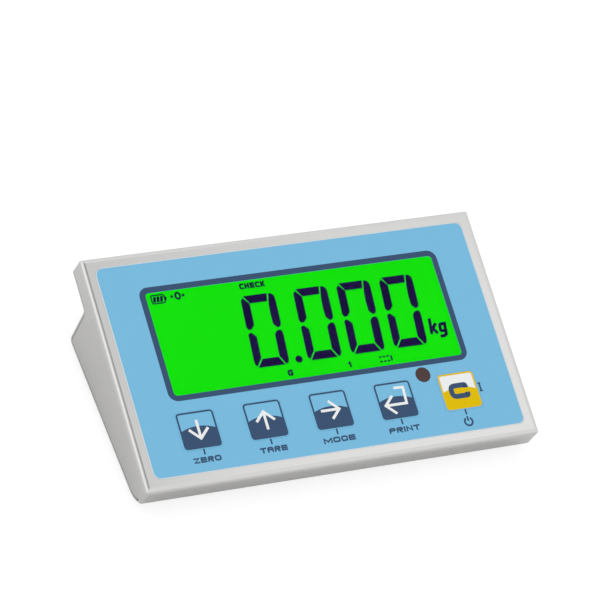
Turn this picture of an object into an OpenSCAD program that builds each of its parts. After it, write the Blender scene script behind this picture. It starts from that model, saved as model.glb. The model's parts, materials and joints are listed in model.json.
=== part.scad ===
// Desk weighing indicator: a folded stainless wedge with a large display and five membrane keys.
// Millimetres, +Z up, X to the viewer's right, +Y to the back, origin under the middle of its base.
// Most pieces are drawn in the frame of the sloping panel, where z is zero on the steel face, or in
// the frame of the base sheet, where z is zero on its underside.

/* [Steel face] */
// Width of steel left and right of the overlay
rim_side = 6.5; // [5:0.25:10]
// Height of steel above and below the overlay
rim_end = 6.25; // [5:0.25:9]
// Depth of the edge that the face turns down at its foot
edge_depth = 13.5; // [12:0.5:16]
// Outer radius of the bends round the face
bend_r = 2.75; // [2:0.25:3.5]
// Radius of the four welded corners, seen straight at the panel
corner_r = 2.25; // [1:0.25:2.5]
// Thickness of the front shell's sheet
sheet_t = 1.5; // [1.2:0.1:1.7]
// Width of the return flanges that the cover screws to
return_w = 12; // [11.5:0.5:13]

/* [Body] */
// Slope of the panel against the base
panel_tilt = 12.8; // [11:0.2:15]
// How far the foot of the face's edge stays above the underside of the base
edge_lift = 3.27; // [3:0.1:6]
// Depth of the overhang above the rear wall, along the slope
overhang = 23.2; // [20:0.2:27]
// Angle between the rear wall and the panel's normal
rear_wall_lean = 5.5; // [3:0.5:8]
// Outer radius of the bend between rear wall and base
rear_corner_r = 2.5; // [2:0.25:4]
// Outer radius of the bend between the overhang and the rear wall
notch_r = 1.5; // [1:0.25:2.5]
// Outer radius of the curved front lip of the cover
lip_r = 17; // [15:0.5:19]
// How far that lip turns up from the base
lip_turn = 34.5; // [30:0.5:38]
// Thickness of the rear cover's sheet
cover_t = 1.2; // [1:0.1:1.3]
// Thickness of the seal between shell and cover
seal_t = 0.5; // [0.3:0.1:0.7]
// How far the seal stays inside the outer face of the cheeks
seal_inset = 1.2; // [0.5:0.1:2]

/* [Keypad] */
// Width of the printed overlay left and right of the display window
overlay_side = 22.5; // [19:0.5:30]
// Height of the overlay above the window
overlay_head = 16.65; // [14:0.05:22]
// Height of the overlay between the window and the keys
key_gap = 9.5; // [9:0.1:14]
// Height of the overlay below the keys
overlay_foot = 12.55; // [11:0.05:18]
// Corner radius of the printed overlay
overlay_r = 4; // [2:0.5:8]
// Thickness of the printed overlay
overlay_t = 0.4; // [0.3:0.05:0.5]
// Thickness of the spacer under the overlay
spacer_t = 0.65; // [0.62:0.02:0.7]
// Thickness of the printed circuit film under the spacer
circuit_t = 0.25; // [0.2:0.05:0.3]
// Width of a key
key_w = 20.1; // [16:0.1:22]
// Height of a key
key_h = 19.6; // [16:0.1:20]
// Corner radius of a key
key_r = 1.9; // [1:0.1:6]
// Distance from one key to the next
key_pitch = 36.2; // [30:0.2:42]
// How far the row of keys sits to the left of the panel's middle
key_shift = 0.5; // [0:0.1:2]
// How far a key stands proud of the overlay
key_rise = 0.35; // [0.2:0.05:0.6]
// Travel of a key
key_travel = 0.4; // [0.2:0.05:0.42]
// Clearance round a key
key_fit = 0.3; // [0.25:0.05:0.5]
// Radius of a key's switch contact
contact_r = 5; // [3:0.5:7]
// Width of the visible display window
window_w = 160; // [150:1:190]
// Height of the visible display window
window_h = 56.2; // [50:0.2:66]
// Corner radius of the visible window
window_r = 2; // [1:0.25:5]
// Width of the seat round the window pane
window_seat = 3; // [2.5:0.1:3.5]
// How far right of the middle between its two keys the infrared window lies
ir_shift = 0.5; // [0:0.1:1]
// Film between the window's seat and the infrared window
ir_gap = 0.8; // [0.5:0.1:1.2]
// Radius of the infrared window
ir_r = 4; // [3:0.1:4.5]

/* [Display module] */
// Thickness of each display glass
glass_t = 1.1; // [0.7:0.1:1.1]
// Width of the glasses hidden left and right of the window
glass_side = 5; // [4.5:0.25:7]
// Height of the rear glass hidden above and below the window
glass_edge = 2.4; // [2:0.1:2.8]
// Contact ledge of the front glass, past the rear one
ledge_h = 4; // [3.5:0.1:4.2]
// Height of a displayed digit
digit_h = 39.9; // [30:0.1:44]
// Width of a displayed digit
digit_w = 19.2; // [14:0.1:21]
// Sideways lean of a digit over its height
digit_lean = 2.85; // [0:0.05:4]
// Distance from one decimal digit to the next
digit_pitch = 24.3; // [23:0.1:26]
// Extra room at the decimal point
point_room = 4.9; // [4.5:0.1:8]
// Thickness of the backlight guide
guide_t = 2.5; // [1.5:0.1:2.5]
// Thickness of the circuit boards
board_t = 1.6; // [1:0.1:1.6]

/* [Inside the base] */
// Height of the standoffs under the main board
standoff_h = 5; // [4:0.5:6]
// Width of the main board right of its terminal blocks
board_spare = 28; // [26:1:32]
// Depth of the main board in front of its screening can
board_front = 9; // [8.5:0.5:12]
// Radius of a battery cell
cell_r = 5.2; // [5:0.1:6]
// Length of a battery cell
cell_l = 43.5; // [40:0.5:50]

/* [Cable entries] */
// Radius of the entries' thread
entry_r = 6; // [5:0.25:6.5]
// Hexagon size of the entries, across flats
entry_af = 15; // [14.5:0.5:17]
// Radius of the cable bore in an entry's seal
cable_r = 3.1; // [2:0.1:3.4]
// Distance from the notch down the rear wall to the entries
entry_down = 14; // [13:0.5:15]
// Distance from the housing's side to the first cable entry
entry_side = 39; // [34:1:44]
// Distance between the two cable entries
entry_pitch = 28; // [23:1:34]
// Distance from the middle to the blanking plug, on the other side
plug_at = 30; // [24:1:36]
// Distance from the housing's side to the earth stud
earth_side = 37; // [30:1:44]

/* [Base fittings] */
// Radius of a rubber foot
foot_r = 5.5; // [4.5:0.25:5.75]
// Height of a rubber foot
foot_h = 3; // [2.5:0.25:6]
// Distance between the two bracket inserts
insert_spacing = 75; // [60:1:90]
// Bore radius of a bracket insert
insert_bore_r = 1.65; // [1.2:0.05:2]

/* [Hidden] */
$fn = 64;
// Overrun of every cut
over = 1;
// Flat facets in each bend that is drawn as an outline
bend_steps = 10;
// Smallest bend radius left on the inside of a fold
least_r = 0.2;
// Running clearance between pieces that screw or slip together
slip = 0.1;
// Clearance of the overlay in its pocket and of the glass in its frame
pocket_fit = 0.2;
// How far the cover's ends stay inside the cheeks' outer faces
cover_inset = 0.15;

// The panel's layout, built up round the window and the keys, from the middle of the overlay
overlay_w = window_w + 2 * overlay_side;
overlay_h = overlay_head + window_h + key_gap + key_h + overlay_foot;
face_w = overlay_w + 2 * rim_side;
face_h = overlay_h + 2 * rim_end;
window_rise = overlay_h / 2 - overlay_head - window_h / 2;
key_drop = overlay_h / 2 - overlay_foot - key_h / 2;
key_count = 5;
ir_right = (key_count - 2) * key_pitch / 2 + ir_shift;
ir_drop = window_h / 2 - window_rise + window_seat + ir_gap + ir_r;
glass_w = window_w + 2 * glass_side;
glass_h = window_h + 2 * glass_edge;
// Farther than anything in the model lies
far = face_w + face_h;

// Depths of the layers behind the steel face
pocket_depth = overlay_t + spacer_t + circuit_t;
floor_depth = pocket_depth + sheet_t;
foam_t = 0.4;
front_glass_depth = floor_depth + foam_t;
segment_t = 0.1;
segment_depth = front_glass_depth + glass_t;
rear_glass_depth = segment_depth + segment_t;
film_t = 0.3;
film_depth = rear_glass_depth + glass_t;
guide_depth = film_depth + film_t;
guide_gap = 0.2;
board_depth = guide_depth + guide_t + guide_gap;
board_back = board_depth + board_t;

// The housing goes round that stack: its rim, its rear wall and the drop from panel to base
rim_gap = 0.7;
rim_depth = board_back + rim_gap + cover_t;
rear_wall_y = face_h / 2 - overhang;
base_drop = face_h / 2 * sin(panel_tilt) + edge_depth * cos(panel_tilt) + edge_lift;

// Folded outline of the cover's outside in the panel's frame, as [y, z] points, top to front lip
lip_end_y = -(face_h / 2 - sheet_t - key_fit);
lip_start_y = lip_end_y + lip_r * (sin(panel_tilt + lip_turn) - sin(panel_tilt));
function base_point(y) = [y, -base_drop / cos(panel_tilt) - y * tan(panel_tilt)];
wall_dir = [-sin(rear_wall_lean), -cos(rear_wall_lean)];
base_dir = [-cos(panel_tilt), sin(panel_tilt)];
lip_dir = [-cos(panel_tilt + lip_turn), sin(panel_tilt + lip_turn)];
notch_point = [rear_wall_y, -rim_depth];
heel_point = meet(notch_point, wall_dir, base_point(0), base_dir);
lip_point = base_point(lip_start_y) + base_dir * lip_r * tan(lip_turn / 2);
lip_end = lip_point + lip_dir * lip_r * tan(lip_turn / 2);
back_corners = [[face_h / 2, -rim_depth], notch_point, heel_point, lip_point, lip_end];
back_radii = [0, notch_r, rear_corner_r, lip_r, 0];

// Places along the base, in the base's frame, where y is zero under the middle of the panel
function base_y(p) = p[0] * cos(panel_tilt) - p[1] * sin(panel_tilt);
function base_z(p) = p[0] * sin(panel_tilt) + p[1] * cos(panel_tilt) + base_drop;
heel_y = base_y(heel_point);
flat_front_y = base_y(base_point(lip_start_y));
rim_rear_y = base_y(back_corners[0]);
face_front_y = base_y([-(face_h / 2 - bend_r), -bend_r]) - bend_r;
shift_y = -(rim_rear_y + face_front_y) / 2;

// Cover screws
screw_r = 1.45;
screw_hole_r = 1.7;
screw_head_r = 2.8;
screw_head_h = 1.8;
screw_tip = 0.6;
screw_edge = 6;
screw_top_edge = 6.5;
screw_row_shares = [0.09, 0.5, 0.88];
nut_r = 3;
nut_h = 2.4;

// Openings and edges of the shell
top_return = 10;
bottom_return = 13;
tail_w = 18;
tail_t = 0.25;
tail_left = 60;
tail_slot_t = 2;
tail_edge = 4.75;
tail_drop = overlay_h / 2 - tail_edge;
pane_clear = 1.4;

// Feet and inserts
foot_side = 22;
foot_front = 9;
foot_rear = 9.5;
foot_chamfer = 0.8;
foot_stem_r = 2.4;
foot_barb_r = 3.4;
foot_barb_h = 1.4;
insert_board_gap = 14.5;
insert_r = 3;
insert_h = 9;
insert_flange_r = 4.5;
insert_flange_h = 0.8;

// Display module
frame_wall = 1.2;
frame_low = window_rise - glass_h / 2 - pocket_fit - frame_wall;
frame_high = window_rise + glass_h / 2 + ledge_h + pocket_fit + frame_wall;
display_board_edge = 0.6;
strip_t = 2.2;
lamp_w = 1.4;
lamp_l = 4;
lamp_h = 2;
lamp_count = 4;
guide_side = 3;
display_standoff_r = 2.75;
display_standoff_gap = 2.35;
display_standoff_edge = 3.5;
display_standoff_low = 5;
display_standoff_wall = 6.3;
display_stud_r = 1.45;
display_stud_tip = 0.6;
digit_right = 46.2;
digit_drop = 18.3;
point_r = 1.95;
point_left = 4.65;
point_up = 1.95;
last_digit = 3;
// Outlines of the lit segments, as shares of a digit's width and height
segment_shares = [
    [[0.1, 0.995], [0.258, 0.885], [0.757, 0.885], [0.787, 0.995]],
    [[0.825, 0.99], [0.91, 0.985], [0.985, 0.945], [1, 0.89], [1, 0.562], [0.962, 0.525],
        [0.883, 0.512], [0.779, 0.567], [0.764, 0.695], [0.775, 0.832]],
    [[0.894, 0.482], [0.97, 0.47], [1, 0.42], [0.99, 0.065], [0.956, 0.022], [0.894, 0.012],
        [0.748, 0.125], [0.76, 0.427], [0.815, 0.465]],
    [[0.09, 0.008], [0.25, 0.12], [0.712, 0.12], [0.862, 0.004]],
    [[0.015, 0.477], [0.106, 0.492], [0.234, 0.428], [0.228, 0.137], [0.075, 0.028], [0.014, 0.054],
        [0, 0.127]],
    [[0.016, 0.937], [0.075, 0.972], [0.248, 0.882], [0.24, 0.589], [0.142, 0.534], [0.054, 0.53],
        [0.002, 0.571]]];
driver_size = [12, 12, 1.2];
driver_at = [10, window_rise];
receiver_size = 5;
receiver_gap = 0.4;
receiver_edge = 4.1;
display_board_low = -ir_drop - receiver_size / 2 - receiver_edge;
display_standoff_x = glass_w / 2 + pocket_fit + frame_wall + display_standoff_gap + display_standoff_r;
display_board_w = 2 * (display_standoff_x + display_standoff_edge);
first_standoff_y = display_board_low + display_standoff_low;
last_standoff_y = rear_wall_y - display_standoff_wall;
display_standoff_rows = [first_standoff_y, (first_standoff_y + last_standoff_y) / 2, last_standoff_y];
tail_connector_size = [22, 5, 2.5];
tail_connector_edge = 4;
tail_connector_low = display_board_low + tail_connector_edge;
tail_bend_r = 3;
tail_run_gap = 1.5;

// Ribbon cable between the boards
header_size = [18, 5, 4];
display_header_h = 3;
ribbon_w = 16;
ribbon_t = 0.9;
ribbon_bend_r = 2;
ribbon_reach = 7.5;
display_header_behind = 7.5;

// Main board, its places measured from its own left front corner
processor_size = [14, 14, 1.4];
shield_size = [28, 20, 4.5];
shield_t = 0.3;
shield_at = [board_front, board_front];
shield_gap = 5.5;
terminal_size = [20, 8.5, 9.5];
terminal_wire_r = 1.3;
terminal_ways = 3;
terminal_left = 10;
processor_at = [shield_at[0] + shield_size[0] + shield_gap, shield_at[1] + shield_gap];
main_w = terminal_left + entry_pitch + terminal_size[0] + board_spare;
main_d = board_front + shield_size[1] + shield_gap + terminal_size[1];
main_side = 14;
main_left = face_w / 2 - main_side;
main_rear_gap = 12;
main_top = cover_t + standoff_h + board_t;
main_rear_y = heel_y - main_rear_gap;
main_front_y = main_rear_y - main_d;
corner_in = 4;
standoff_r = 2.75;
standoff_bore_r = 1.55;
inner_screw_l = 4.2;
capacitor_r = 3.15;
capacitor_h = 8;
capacitor_count = 3;
capacitor_pitch = 8;
capacitor_back = 9;
buzzer_r = 6;
buzzer_h = 6;
buzzer_sound_r = 1;
buzzer_right = 9;
buzzer_front = 15;
header_front = 1;
header_right = 19;
ribbon_left = main_left - main_w + header_right;
display_header_low = main_front_y + display_header_behind;

// Battery pack, its cells side by side
cell_count = 4;
cell_gap = 0.3;
cell_nub_r = 1.9;
cell_nub_h = 1;
pad_t = 0.5;
pad_edge = 3;
pack_side = 12.7;
pack_rear_gap = 12.5;
pack_pitch = 2 * cell_r + cell_gap;
pack_half = cell_count * pack_pitch / 2;
pack_mid_y = heel_y - pack_rear_gap - pack_half + cell_gap / 2;
pack_z = cover_t + pad_t + cell_r;
pack_l = cell_l + cell_nub_h;
pack_left_x = face_w / 2 - pack_side - pack_l;
strap_w = 14;
strap_t = 1;
strap_foot = 8;
strap_gap = 0.3;
strap_foot_h = 2.5;
lead_r = 0.8;
lead_l = 9;
lead_inset = 3;

// Cable entries, measured from the outside of the rear wall
washer_t = 1.2;
entry_flange_h = 4.5;
entry_inner_l = 7;
entry_top_l = 6;
locknut_h = 3.5;
cap_gap = 0.8;
cap_l = 11;
cap_dome_l = 2;
cap_roof = 2.6;
bore_wall = 0.5;
seal_wall = 1.6;
seal_start = 1.6;
seal_proud = 1.6;
plug_head_h = 5;
washer_out = 1.6;

// Earth stud
stud_r = 2;
stud_l = 10;
stud_washer_r = 4.5;
stud_washer_h = 0.8;
stud_nut_af = 7;
stud_nut_h = 3.2;

function unit(v) = v / norm(v);
function right_of(v) = [v[1], -v[0]];
function meet(p, d, q, e) = p + d * cross(q - p, e) / cross(d, e);
function heading(points, i) = unit(points[i + 1] - points[i]);
function reversed(list) = [for (i = [len(list) - 1:-1:0]) list[i]];

// Points of a path moved to its right-hand side, with mitred corners
function inset_points(points, gap) = [for (i = [0:len(points) - 1])
    let (first = i == 0, last = i == len(points) - 1)
    first ? points[0] + gap * right_of(heading(points, 0))
    : last ? points[i] + gap * right_of(heading(points, i - 1))
    : meet(points[i - 1] + gap * right_of(heading(points, i - 1)), heading(points, i - 1),
        points[i] + gap * right_of(heading(points, i)), heading(points, i))];

// Bend radii of that moved path
function inset_radii(points, radii, gap) = [for (i = [0:len(points) - 1])
    i == 0 || i == len(points) - 1 ? 0
    : max(least_r, radii[i] + gap * sign(cross(heading(points, i - 1), heading(points, i))))];

// Points of a path with a round bend at each inner corner
function bent(points, radii) = [for (i = [0:len(points) - 1])
    each i == 0 || i == len(points) - 1 ? [points[i]]
    : let (a = heading(points, i - 1), b = heading(points, i), side = sign(cross(a, b)),
        turn = acos(a * b), r = radii[i], start = points[i] - a * r * tan(turn / 2),
        middle = start - side * r * right_of(a))
        [for (k = [0:bend_steps]) let (angle = turn * k / bend_steps)
            middle + side * r * cos(angle) * right_of(a) + r * sin(angle) * a]];

// Closed outline of a bent sheet, its thickness on the right of the path
function sheet_outline(points, radii, thickness) = concat(bent(points, radii),
    reversed(bent(inset_points(points, thickness), inset_radii(points, radii, thickness))));

// The cover's outer path moved inwards
function back_line(inset) = bent(inset_points(back_corners, inset),
    inset_radii(back_corners, back_radii, inset));

// Side outline of the shell with its front corners still square, moved inwards by a wall
function shell_points(wall) =
    let (back = back_line(cover_t + seal_t + wall), last = back[len(back) - 1],
        edge_y = -(face_h / 2 - sheet_t), web = last + lip_dir * (edge_y - last[0]) / lip_dir[0])
    concat([[face_h / 2, 0]], back, [web],
        wall == 0 ? [[edge_y, -edge_depth], [-face_h / 2, -edge_depth], [-face_h / 2, 0]]
        : [[edge_y, 0]]);

module on_panel() translate([0, shift_y, foot_h + base_drop]) rotate([panel_tilt, 0, 0]) children();
module on_base() translate([0, shift_y, foot_h]) children();
// Square to the rear wall, z zero on its outside and pointing out
module on_rear_wall(x) on_panel()
    translate([x, notch_point[0] + entry_down * wall_dir[0], notch_point[1] + entry_down * wall_dir[1]])
        rotate([-(90 + rear_wall_lean), 0, 0]) children();
module along_x(length) rotate([90, 0, 90]) linear_extrude(height = length, center = true) children();
module along_y(length) rotate([90, 0, 0]) linear_extrude(height = length, center = true) children();
module both_sides(x) for (side = [-1, 1]) translate([side * x, 0, 0]) children();

module round_rect(w, h, r) {
    square([w - 2 * r, h], center = true);
    square([w, h - 2 * r], center = true);
    for (x = [-1, 1], y = [-1, 1])
        translate([x * (w / 2 - r), y * (h / 2 - r)]) circle(r);
}

// A layer of the panel's stack between two depths under the steel face
module layer(depth, thickness) translate([0, 0, -depth - thickness])
    linear_extrude(height = thickness) children();
module block(size, depth) translate([0, 0, -depth - size[2] / 2]) cube(size, center = true);
module hex(af, height) cylinder(r = af / 2 / cos(180 / 6), h = height, $fn = 6);
module tube(outer_r, inner_r, height) difference() {
    cylinder(r = outer_r, h = height);
    translate([0, 0, -over]) cylinder(r = inner_r, h = height + 2 * over);
}

// Cross-section of the tray with two round corners at the front
module tray_section(w, r) {
    translate([-w / 2, -far]) square([w, far - r]);
    translate([r - w / 2, -far]) square([w - 2 * r, far]);
    for (side = [-1, 1]) translate([side * (w / 2 - r), -r]) circle(r);
}
// The face's outline with its welded corners, all the way down and moved inwards by a wall
module corner_prism(wall) translate([0, 0, -far]) linear_extrude(height = 2 * far)
    round_rect(face_w - 2 * wall, face_h - 2 * wall, max(corner_r - wall, least_r));
module folded_body(wall) intersection() {
    corner_prism(wall);
    along_x(face_w + over) intersection() {
        polygon(shell_points(wall));
        translate([0, -wall]) tray_section(face_h - 2 * wall, bend_r - wall);
    }
    along_y(face_h + over) translate([0, -wall]) tray_section(face_w - 2 * wall, bend_r - wall);
}

// The opening that the rear cover closes, in the panel's frame
module rear_opening(grow) {
    low = -(face_h / 2 - bottom_return) - grow;
    high = face_h / 2 - top_return + grow;
    top = -(rim_depth - cover_t - seal_t - sheet_t) + over;
    translate([-(face_w / 2 - return_w) - grow, low, -far])
        cube([face_w - 2 * return_w + 2 * grow, high - low, far + top]);
}
module window_opening(spare, r) translate([0, window_rise])
    round_rect(window_w + 2 * spare, window_h + 2 * spare, r);

// Places of the cover screws, z zero on the cover's outside and pointing in
module at_cover_screws() {
    for (share = screw_row_shares) on_base()
        translate([0, flat_front_y + share * (heel_y - flat_front_y), 0])
            both_sides(face_w / 2 - screw_edge) children();
    on_panel() translate([0, face_h / 2 - screw_top_edge, -rim_depth]) {
        children();
        both_sides(face_w / 2 - return_w) children();
    }
}
module at_feet() for (y = [flat_front_y + foot_front, heel_y - foot_rear])
    on_base() translate([0, y, 0]) both_sides(face_w / 2 - foot_side) children();
module at_inserts() on_base() translate([0, main_front_y - insert_board_gap, 0])
    both_sides(insert_spacing / 2) children();
module at_key(place) translate([(place - (key_count - 1) / 2) * key_pitch - key_shift, -key_drop, 0])
    children();
module at_each_key() for (place = [0:key_count - 1]) at_key(place) children();
module at_ir() translate([ir_right, -ir_drop, 0]) children();
module at_display_standoffs() on_panel() for (y = display_standoff_rows)
    translate([0, y, 0]) both_sides(display_standoff_x) children();
// The main board's own corner, z zero on its underside
module on_main() on_base() translate([-main_left, main_front_y, cover_t + standoff_h]) children();
module at_main_standoffs() on_main() for (x = [corner_in, main_w - corner_in],
    y = [corner_in, main_d - corner_in]) translate([x, y, 0]) children();
module at_bracket_standoffs() on_base() for (side = [-1, 1])
    translate([pack_left_x + pack_l / 2, pack_mid_y + side * (strap_half + strap_t + strap_foot / 2), 0])
        children();
module at_entries(list) for (x = list) on_rear_wall(x) children();
gland_places = [entry_side - face_w / 2, entry_side + entry_pitch - face_w / 2];
all_entries = concat(gland_places, [plug_at]);
earth_at = face_w / 2 - earth_side;

module front_shell() color("gainsboro") on_panel() {
    difference() {
        union() {
            difference() {
                folded_body(0);
                folded_body(sheet_t);
            }
            // Back of the pressed pocket
            translate([0, 0, -floor_depth]) linear_extrude(height = floor_depth - sheet_t / 2)
                round_rect(overlay_w + 2 * sheet_t, overlay_h + 2 * sheet_t, overlay_r + sheet_t);
        }
        translate([0, 0, -pocket_depth]) linear_extrude(height = pocket_depth + over)
            round_rect(overlay_w + 2 * pocket_fit, overlay_h + 2 * pocket_fit, overlay_r);
        layer(pocket_depth - over, sheet_t + 2 * over) window_opening(pane_clear, window_r);
        layer(pocket_depth - over, sheet_t + 2 * over) at_ir() circle(ir_r * ir_hole_share);
        layer(pocket_depth - over, sheet_t + 2 * over) translate([-tail_left, -tail_drop])
            square([tail_w + tail_slot_t, tail_slot_t], center = true);
        rear_opening(0);
        shell_screw_holes();
    }
}
// The hole under the infrared window, as a share of its radius, leaves it a seat
ir_hole_share = 0.75;
// Back from the panel's frame to the part's own
module off_panel() rotate([-panel_tilt, 0, 0]) translate([0, -shift_y, -foot_h - base_drop]) children();
module shell_screw_holes() off_panel() at_cover_screws()
    cylinder(r = screw_hole_r, h = cover_t + seal_t + sheet_t + over);

module rear_cover() color("silver") difference() {
    on_panel() intersection() {
        corner_prism(0);
        along_x(face_w - 2 * cover_inset)
            polygon(sheet_outline(back_corners, back_radii, cover_t));
    }
    at_cover_screws() translate([0, 0, -over]) cylinder(r = screw_hole_r, h = cover_t + 2 * over);
    at_feet() translate([0, 0, -over]) cylinder(r = foot_stem_r + slip, h = cover_t + 2 * over);
    at_inserts() translate([0, 0, -over]) cylinder(r = insert_r + slip, h = cover_t + 2 * over);
    at_entries(all_entries) translate([0, 0, -cover_t - over])
        cylinder(r = entry_r + slip, h = cover_t + 2 * over);
}

module cover_gasket() color("dimgray") difference() {
    on_panel() difference() {
        intersection() {
            along_x(face_w - 2 * seal_inset)
                polygon(concat(back_line(cover_t), reversed(back_line(cover_t + seal_t))));
            translate([-far, -far, -far]) cube([2 * far, far + face_h / 2 - seal_inset, far]);
        }
        rear_opening(slip);
    }
    at_cover_screws() cylinder(r = screw_hole_r, h = cover_t + seal_t + over);
}

module cover_screws() color("lightgray") at_cover_screws() union() {
    translate([0, 0, -screw_head_h]) difference() {
        cylinder(r = screw_head_r, h = screw_head_h);
        translate([0, 0, -over]) hex(screw_r * 4 / 3, over + screw_head_h / 2);
    }
    cylinder(r = screw_r, h = cover_t + seal_t + sheet_t + nut_h + screw_tip);
}

module press_nuts() color("darkgray") at_cover_screws()
    translate([0, 0, cover_t + seal_t + sheet_t]) tube(nut_r, screw_r + slip, nut_h);

module rubber_feet() color("black") at_feet() rotate_extrude() polygon([
    [0, -foot_h], [foot_r - foot_chamfer, -foot_h], [foot_r, -foot_h + foot_chamfer], [foot_r, 0],
    [foot_stem_r, 0], [foot_stem_r, cover_t], [foot_barb_r, cover_t],
    [foot_stem_r, cover_t + foot_barb_h], [0, cover_t + foot_barb_h]]);

module bracket_inserts() color("silver") at_inserts() difference() {
    union() {
        translate([0, 0, -insert_flange_h]) cylinder(r = insert_flange_r, h = insert_flange_h);
        cylinder(r = insert_r, h = insert_h);
    }
    translate([0, 0, -insert_flange_h - over])
        cylinder(r = insert_bore_r, h = insert_flange_h + insert_h + 2 * over);
}

module key_hole() round_rect(key_w + 2 * key_fit, key_h + 2 * key_fit, key_r + key_fit);

module overlay() color("skyblue") on_panel() layer(0, overlay_t) difference() {
    round_rect(overlay_w, overlay_h, overlay_r);
    window_opening(0, window_r);
    at_each_key() key_hole();
    at_ir() circle(ir_r + slip);
}

module display_window() color("palegreen", 0.4) on_panel() {
    layer(0, overlay_t) window_opening(-slip, window_r - slip);
    layer(overlay_t, pocket_depth - overlay_t) window_opening(window_seat - slip, window_r);
}

module ir_window() color([0.31, 0.24, 0.235]) on_panel() at_ir()
    layer(0, pocket_depth) circle(ir_r);

// A key's raised pad with its contact disc below
module key_pad(place) on_panel() at_key(place) {
    translate([0, 0, -overlay_t]) linear_extrude(height = overlay_t + key_rise)
        round_rect(key_w, key_h, key_r);
    layer(overlay_t, spacer_t - key_travel - contact_t - slip) circle(contact_r);
}
contact_t = 0.05;
module key_zero() color("steelblue") key_pad(0);
module key_tare() color("steelblue") key_pad(1);
module key_mode() color("steelblue") key_pad(2);
module key_print() color("steelblue") key_pad(3);
module key_clear() color("gold") key_pad(4);

module keypad_spacer() color("white") on_panel() layer(overlay_t, spacer_t) difference() {
    round_rect(overlay_w, overlay_h, overlay_r);
    window_opening(window_seat, window_r);
    at_each_key() key_hole();
    at_ir() circle(ir_r + slip);
}

module keypad_circuit() color("lightgray") on_panel()
    layer(overlay_t + spacer_t, circuit_t) difference() {
        round_rect(overlay_w, overlay_h, overlay_r);
        window_opening(window_seat, window_r);
        at_ir() circle(ir_r + slip);
    }

module switch_contacts() color("silver") on_panel() at_each_key()
    layer(overlay_t + spacer_t - contact_t, contact_t) circle(contact_r);

tail_path = [[-tail_drop, -pocket_depth], [-tail_drop, -board_back - tail_run_gap],
    [tail_connector_low, -board_back - tail_run_gap]];
module keypad_tail() color("orange") on_panel() translate([-tail_left, 0, 0]) along_x(tail_w)
    polygon(sheet_outline(tail_path, [0, tail_bend_r, 0], tail_t));

module tail_connector() color("ivory") on_panel()
    translate([-tail_left, tail_connector_low + tail_connector_size[1] / 2, 0])
        block(tail_connector_size, board_back);

module display_gasket() color("black") on_panel() layer(floor_depth, foam_t) difference() {
    window_opening(window_seat + pane_clear, window_r);
    window_opening(pane_clear, window_r);
}

module glass(depth, top_ledge) translate([0, window_rise - glass_h / 2, -depth - glass_t])
    translate([-glass_w / 2, 0, 0]) cube([glass_w, glass_h + top_ledge, glass_t]);
module front_glass() color("honeydew", 0.4) on_panel() glass(front_glass_depth, ledge_h);
module rear_glass() color("honeydew", 0.4) on_panel() glass(rear_glass_depth, 0);

// One digit with every segment lit but the middle one
module digit() for (shares = segment_shares)
    polygon([for (s = shares) [s[0] * digit_w + s[1] * digit_lean, s[1] * digit_h]]);
module display_segments() color("midnightblue") on_panel()
    translate([0, window_rise - digit_drop, 0]) layer(segment_depth, segment_t) {
        for (i = [0:last_digit - 1]) translate([digit_right - i * digit_pitch, 0]) digit();
        translate([digit_right - last_digit * digit_pitch - point_room, 0]) digit();
        translate([digit_right - (last_digit - 1) * digit_pitch - point_left, point_up]) circle(point_r);
    }

module reflector_film() color("limegreen") on_panel()
    translate([0, window_rise, 0]) block([glass_w, glass_h, film_t], film_depth);

module backlight_guide() color("white", 0.6) on_panel()
    translate([0, window_rise, 0]) block([glass_w - 2 * guide_side, glass_h, guide_t], guide_depth);

module backlight_lamps() color("lightyellow") on_panel() for (i = [0:lamp_count - 1])
    translate([0, window_rise + (i - (lamp_count - 1) / 2) * glass_h / lamp_count, 0])
        both_sides(glass_w / 2 - guide_side / 2)
            block([lamp_w, lamp_l, lamp_h], board_depth - lamp_h);

module display_frame() color("silver") on_panel() difference() {
    translate([-glass_w / 2 - pocket_fit - frame_wall, frame_low, -board_depth])
        cube([glass_w + 2 * (pocket_fit + frame_wall), frame_high - frame_low,
            board_depth - front_glass_depth]);
    translate([-glass_w / 2 - pocket_fit, frame_low + frame_wall, -board_depth - over])
        cube([glass_w + 2 * pocket_fit, frame_high - frame_low - 2 * frame_wall, far]);
}

module contact_strip() color("dimgray") on_panel()
    translate([0, window_rise + glass_h / 2 + ledge_h / 2 + slip, 0])
        block([glass_w - 2 * guide_side, strip_t, board_depth - segment_depth], segment_depth);

display_board_high = frame_high + display_board_edge;
module display_board() color("darkgreen") difference() {
    on_panel() translate([-display_board_w / 2, display_board_low, -board_back])
        cube([display_board_w, display_board_high - display_board_low, board_t]);
    at_display_standoffs() layer(board_depth - over, board_t + 2 * over) circle(display_stud_r + slip);
}

module display_standoffs() color("silver") at_display_standoffs() union() {
    translate([0, 0, -board_depth]) hex(display_standoff_r * 2 * cos(180 / 6), board_depth - floor_depth);
    translate([0, 0, -board_back - nut_h - display_stud_tip])
        cylinder(r = display_stud_r, h = board_t + nut_h + display_stud_tip);
}

module display_nuts() color("gold") at_display_standoffs()
    translate([0, 0, -board_back - nut_h]) difference() {
        hex(nut_r * 2 * cos(180 / 6), nut_h);
        translate([0, 0, -over]) cylinder(r = display_stud_r + slip, h = nut_h + 2 * over);
    }

module display_driver() color("black") on_panel() translate([driver_at[0], driver_at[1], 0])
    block(driver_size, board_back);

module ir_receiver() color("black") on_panel() at_ir() union() {
    block([receiver_size, receiver_size, board_depth - floor_depth - receiver_size / 2], floor_depth
        + receiver_size / 2);
    translate([0, 0, -floor_depth - receiver_size / 2 - receiver_gap]) difference() {
        sphere(r = receiver_size / 2);
        translate([-far / 2, -far / 2, -far]) cube([far, far, far]);
    }
}

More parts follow.
